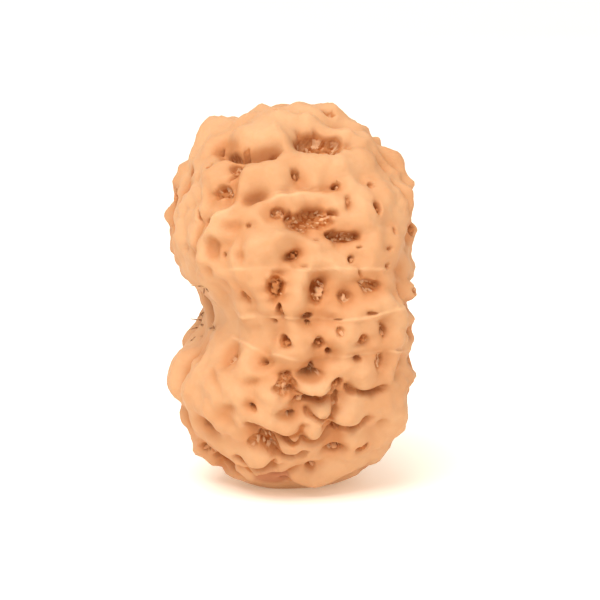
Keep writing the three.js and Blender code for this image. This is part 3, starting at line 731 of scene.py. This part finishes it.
def add_fibre(strands, start, way, length, bend):
    before = len(strands.verts), len(strands.edges)
    bmesh.ops.create_cone(
        strands, segments=FIBRE["sides"], radius1=FIBRE["half"], radius2=FIBRE["tip"] * FIBRE["half"],
        depth=length, cap_ends=True)
    sides = [e for e in list(strands.edges)[before[1]:] if e.verts[0].co.z * e.verts[1].co.z < 0]
    bmesh.ops.subdivide_edges(strands, edges=sides, cuts=FIBRE["cuts"], use_grid_fill=True)
    turn = Vector(way).to_track_quat("Z", "Y")
    for vertex in list(strands.verts)[before[0]:]:
        along = vertex.co.z / length + 0.5
        vertex.co.z = along * length - FIBRE["sunk"]
        vertex.co.x += bend * length * along**2
        vertex.co = (Vector(start) + turn @ vertex.co) / 1000


strands = bmesh.new()
for across, up, right, rise, outward, length, bend in FIBRES:
    index = point_at(across, up, 0)
    way = unit(right * eye_right + rise * eye_up + outward * body["normal"][index])
    add_fibre(strands, points[index], way, length, bend)
fibres = object_from(strands, "stalk_fibres")
strands.free()
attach(fibres, "root")
print(len(FIBRES), "fibres with", len(fibres.data.polygons), "faces")

# %% [markdown]
# ## What the finish needs to know
#
# The colour follows the form: reddish brown in the pits, from their own dirt and painted shade, painted
# shade in the hollows and under the flaps, and paler on the grains and along the pale lips.
# The script knows these places already, so it stores them on the mesh as attributes, and the material
# reads them from there.

# %% Store the forms as attributes
DARK_PIT = 0.6  # mm; a sharp pit this deep is fully dark, with its own dirt and painted shade
DARK_CREVICE, SOFT_CREVICE = 0.85, 0.5  # how much painted shade darkens a crevice, in its middle and round it
GRAIN_EDGE = (0.1, 0.8)  # how high up its dome a grain takes on its own tone
RELIEF_SPAN = 1.4  # mm of relief over which the painted shade goes from the darkest hollow to the palest crest
LIP_TINT = 1.2  # the pale tint is this many times as wide as the lip


def store(mesh, name, values):
    values = np.asarray(values, np.float32)
    mesh.attributes.new(name, "FLOAT", "POINT").data.foreach_set("value", values)


pore = at_pore(body["ball"])
crevice = np.maximum(under_flaps(body["point"]), pore)
lip = sum(share * bell(off, LIP_TINT * half) for off, share, half, _ in lip_offs(body))
# The pits and the pore are darkened for their own dirt and painted shade, the crevices under the flaps for
# painted shade alone.
dark = np.maximum.reduce([sharp / DARK_PIT, DARK_CREVICE * crevice**3, pore])
# Painted shade in the dents, the hollows round the pits and round the crevices under the flaps.
soft = pitted(body["point"], SOFT) + hollows(body["point"]) + SOFT_CREVICE * crevice
store(stone.data, "sharp_pit", np.clip(dark * calm, 0, 1))
store(stone.data, "shade_in_hollows", np.clip(soft * calm, 0, 1))
store(stone.data, "grain", ease(grain_dome, *GRAIN_EDGE) * ease(sharp, *GRAINS_IN_PIT))
store(stone.data, "grain_tone", grain_tone)
store(stone.data, "foot_oval", pitted(body["point"], ("foot_oval",)) / FOOT_OVAL[0][-1])
store(stone.data, "lip", np.clip(lip, 0, 1))
# The relief height, which sets the painted shade: darker in the hollows, paler on the crests.
store(stone.data, "high", np.clip(0.5 + relief / RELIEF_SPAN, 0, 1))
stone_grid.free()
print("stored:", *[a.name for a in stone.data.attributes if not a.is_internal])

# %% [markdown]
# ## Writing a finish
#
# A finish is a network of shader nodes. One small class wraps a node's output and lets Python's own
# signs add the Math nodes, so that a formula reads as a formula. Another holds the material, and its one
# method makes any other node from its type, its settings and what goes into its sockets.

# %% A class for values and one for finishes
class Field:
    """A value that changes over the surface."""

    def __init__(self, finish, socket):
        self.finish, self.socket = finish, socket

    def _math(self, operation, *values):
        return self.finish.node("Math", {"operation": operation}, dict(enumerate(values)))

    def __add__(self, other):
        return self._math("ADD", self, other)

    def __sub__(self, other):
        return self._math("SUBTRACT", self, other)

    def __rsub__(self, other):
        return self._math("SUBTRACT", other, self)

    def __mul__(self, other):
        return self._math("MULTIPLY", self, other)

    __radd__, __rmul__ = __add__, __mul__


class Finish:
    """A material that is made node by node."""

    def __init__(self, name):
        self.material = bpy.data.materials.new(name)
        self.material.use_nodes = True
        self.nodes, self.links = self.material.node_tree.nodes, self.material.node_tree.links
        self.shader = self.nodes["Principled BSDF"]

    def node(self, kind, settings=None, sockets=None, output=0):
        made = self.nodes.new("ShaderNode" + kind)
        for name, value in (settings or {}).items():
            setattr(made, name, value)
        self.fill(made, sockets or {})
        return Field(self, made.outputs[output])

    def fill(self, node, sockets):
        for name, value in sockets.items():
            if isinstance(value, Field):
                self.links.new(value.socket, node.inputs[name])
            else:
                node.inputs[name].default_value = value

    def attribute(self, name):
        return self.node("Attribute", {"attribute_name": name}, output="Fac")

    def noise(self, size_mm, detail=2.0, roughness=0.5):
        place = self.node("TexCoord", output="Object")
        return self.node("TexNoise", None, {
            "Vector": place, "Scale": 1000 / size_mm, "Detail": detail, "Roughness": roughness,
        })

    def between(self, value, low, high):
        """0 below low and 1 above high, with a soft step."""
        return self.node("MapRange", {"interpolation_type": "SMOOTHSTEP"}, {
            "Value": value, "From Min": low, "From Max": high,
        })

    def mix(self, share, low, high):
        return self.node("Mix", {"data_type": "RGBA"}, {0: share, 6: low, 7: high}, output=2)


print("operators on a field:", [n for n in vars(Field) if n.startswith("__")])

# %% [markdown]
# ## The stone's finish
#
# Dry fruit stone is matte and slightly see-through, so light softens its edges. Its tan is never flat:
# broad clouds of pinker and yellower tan and a fine dusting. Painted shade turns the skin a redder brown
# in every hollow, found from the relief and by the Ambient Occlusion node, and under the flaps. The pits
# go from red-brown walls to dark cracks, their own dirt with painted shade in it, and the kernels and
# crumbs in them from brown to pale. The colours are laid over each other, layer by layer.

# %% Colours by place
SKIN_PALE, SKIN_WARM = (0.52, 0.29, 0.148, 1), (0.475, 0.24, 0.112, 1)
# The hollow colour is painted shade.
HOLLOW_SHADE, FOOT_OVAL_TONE = (0.435, 0.185, 0.072, 1), (0.37, 0.145, 0.068, 1)
# The pit wall and crack colours are the pits' own dirt together with painted shade.
PIT_WALL_DIRT_AND_SHADE, PIT_CRACK_DIRT_AND_SHADE = (0.4, 0.152, 0.052, 1), (0.28, 0.068, 0.011, 1)
GRAIN_BROWN, GRAIN_PALE = (0.36, 0.135, 0.045, 1), (0.55, 0.31, 0.168, 1)
LIP_PALE = (0.62, 0.38, 0.21, 1)
FIBRE_BROWN, FIBRE_PALE = (0.2, 0.085, 0.035, 1), (0.5, 0.29, 0.14, 1)
CREVICE_LOOK = 1.5  # mm round a point that may shade it

stone_finish = Finish("dry_fruit_stone")
clouds, dusting = stone_finish.noise(5.5, 3, 0.55), stone_finish.noise(0.5, 3, 0.6)
sharp_pit, shade_in_hollows = stone_finish.attribute("sharp_pit"), stone_finish.attribute("shade_in_hollows")
on_grain, grain_grey = stone_finish.attribute("grain"), stone_finish.attribute("grain_tone")
on_lip, high, foot_oval = (stone_finish.attribute(name) for name in ("lip", "high", "foot_oval"))
open_sky = stone_finish.node(
    "AmbientOcclusion", {"samples": 6, "only_local": True}, {"Distance": CREVICE_LOOK / 1000}, "AO")
between = stone_finish.between
layers = [  # how much of each layer shows over the ones before it, and its colour
    (between(clouds + 0.25 * dusting, 0.45, 0.8), SKIN_PALE),
    # painted shade: a redder brown where the relief is low, in dents, hollows and under the flaps
    (between(1 - high + shade_in_hollows + 0.3 * dusting, 0.6, 1.5), HOLLOW_SHADE),
    # painted shade: a redder brown where the Ambient Occlusion node finds the skin closed in
    (between(1 - open_sky + 0.2 * dusting, 0.25, 0.85), HOLLOW_SHADE),
    # the flat oval on the foot, coloured darker than the skin round it
    (foot_oval * 0.9, FOOT_OVAL_TONE),
    # the pits' own dirt with painted shade, and painted shade in the crevices under the flaps
    (between(sharp_pit + 0.35 * dusting, 0.4, 0.8), PIT_WALL_DIRT_AND_SHADE),
    (between(sharp_pit + 0.3 * dusting, 0.8, 1.2), PIT_CRACK_DIRT_AND_SHADE),
    (on_grain, stone_finish.mix(between(grain_grey, 0.45, 1.0), GRAIN_BROWN, GRAIN_PALE)),
    (on_lip * (1 - sharp_pit) * 0.5, LIP_PALE),
]
skin = SKIN_WARM
for share, colour in layers:
    skin = stone_finish.mix(share, skin, colour)
print("the stone's colours are", len(layers), "layers and use", len(stone_finish.nodes), "nodes")

# %% Gloss, grain and softness
CRACKLE_SIZE, BUMP_DEPTH, GLOW_DEPTH = 0.24, 0.1, 0.6  # mm
DRY_STONE = 1.45  # its index of refraction
rough = 0.5 + 0.2 * dusting + 0.25 * sharp_pit
pores = stone_finish.noise(0.22, 4, 0.65)
crackle = stone_finish.node("TexVoronoi", {"feature": "F1"}, {
    "Vector": stone_finish.node("TexCoord", output="Object"), "Scale": 1000 / CRACKLE_SIZE, "Randomness": 1.0,
}, "Distance")
bump = stone_finish.node("Bump", None, {
    "Strength": 0.5, "Distance": BUMP_DEPTH / 1000,
    "Height": 0.4 * pores + 0.3 * dusting - 0.9 * sharp_pit * crackle,
})
stone_finish.fill(stone_finish.shader, {
    "Base Color": skin, "Roughness": rough, "Normal": bump, "IOR": DRY_STONE, "Specular IOR Level": 0.2,
    "Subsurface Weight": 0.2, "Subsurface Radius": (1.0, 0.45, 0.2), "Subsurface Scale": GLOW_DEPTH / 1000,
})
stone.data.materials.append(stone_finish.material)
print("the stone's finish uses", len(stone_finish.nodes), "nodes")

# %% The fibres' finish
fibre_finish = Finish("dry_fibre")
streaks = fibre_finish.noise(0.35, 3, 0.6)
fibre_finish.fill(fibre_finish.shader, {
    "Base Color": fibre_finish.mix(fibre_finish.between(streaks, 0.35, 0.65), FIBRE_BROWN, FIBRE_PALE),
    "Roughness": 0.6 + 0.2 * streaks, "IOR": DRY_STONE,
})
fibres.data.materials.append(fibre_finish.material)
print("the fibres' finish uses", len(fibre_finish.nodes), "nodes")

# %% [markdown]
# ## Floor, camera and light
#
# The seed stands on a plain pale sheet that curves up behind it. It glows a little with a warm orange light,
# painted light that brightens and warms the shadow round the seed's foot.
# The light is soft: a large panel overhead, a weaker one in front, and pale surroundings. The camera
# stands where the eye of the front's layout stood, so each form falls where it was read.

# %% The sheet that it stands on
SHEET = {"half": 0.4, "strips": 12, "strip": 0.05}  # metres


def curved_sheet():
    sheet = bmesh.new()
    bmesh.ops.create_grid(sheet, x_segments=1, y_segments=1, size=SHEET["half"])
    back = [e for e in sheet.edges if all(v.co.y > 0 for v in e.verts)]
    for step in range(SHEET["strips"]):
        made = bmesh.ops.extrude_edge_only(sheet, edges=back)["geom"]
        back = [g for g in made if isinstance(g, bmesh.types.BMEdge)]
        lean = math.radians(90 * (step + 0.5) / SHEET["strips"])
        moved = [g for g in made if isinstance(g, bmesh.types.BMVert)]
        onward = (0, SHEET["strip"] * math.cos(lean), SHEET["strip"] * math.sin(lean))
        bmesh.ops.translate(sheet, verts=moved, vec=onward)
    return sheet


sheet = curved_sheet()
floor = object_from(sheet, "floor")
sheet.free()
paper = Finish("pale_paper")
paper_shade = paper.mix(paper.noise(30, 3), (0.9, 0.88, 0.83, 1), (0.915, 0.895, 0.85, 1))
paper.fill(paper.shader, {
    "Base Color": paper_shade, "Roughness": 0.9, "Specular IOR Level": 0.1,
    # painted light: a warm glow that brightens and warms the shadow round the seed's foot
    "Emission Color": (1, 0.7, 0.45, 1), "Emission Strength": 0.27,
})
floor.data.materials.append(paper.material)
print("the sheet has", len(floor.data.polygons), "faces")

# %% The camera
SHOWN = 46.15 / 1000  # the width that the picture spans at the seed's middle
SENSOR = 36  # mm
PICTURE, MIDDLE_AT = 600, (291.5, 296.5)  # the picture's width, and where the seed's middle falls on it
middle = Vector((0, 0, MIDDLE_UP / 1000))
camera_data = bpy.data.cameras.new("camera")
camera = bpy.data.objects.new("camera", camera_data)
bpy.context.scene.collection.objects.link(camera)
camera_data.sensor_width = SENSOR
camera_data.lens = SENSOR * (EYE_AWAY / 1000) / SHOWN
camera_data.clip_start, camera_data.clip_end = 0.01, 10
camera_data.shift_x = (PICTURE / 2 - MIDDLE_AT[0]) / PICTURE
camera_data.shift_y = (MIDDLE_AT[1] - PICTURE / 2) / PICTURE
camera.location = middle + Vector(eye_back) * EYE_AWAY / 1000
camera.rotation_mode = "QUATERNION"
camera.rotation_quaternion = Vector(eye_back).to_track_quat("Z", "Y")
bpy.context.scene.camera = camera
print("lens", round(camera_data.lens, 1), "mm")

# %% Soft light
def panel(name, place, size, power, colour):
    light = bpy.data.lights.new(name, "AREA")
    light.shape, light.size, light.energy, light.color = "DISK", size, power, colour
    lamp = bpy.data.objects.new(name, light)
    bpy.context.scene.collection.objects.link(lamp)
    lamp.location = place
    lamp.rotation_mode = "QUATERNION"
    lamp.rotation_quaternion = (Vector(place) - middle).to_track_quat("Z", "Y")


panel("overhead_panel", (-0.17, -0.24, 0.44), 0.4, 2.9, (1.0, 0.97, 0.93))
panel("front_panel", (-0.02, -0.5, 0.1), 0.4, 0.9, (1.0, 0.975, 0.94))
surround = bpy.data.worlds.new("pale_surroundings")
surround.use_nodes = True
sky = surround.node_tree.nodes["Background"].inputs
sky["Color"].default_value, sky["Strength"].default_value = (1.0, 0.965, 0.92, 1), 0.88
bpy.context.scene.world = surround
bpy.context.scene.view_settings.view_transform = "Standard"

# %% [markdown]
# ## The dressed seed's size
#
# The dressed seed is meant to keep the packed part's size.
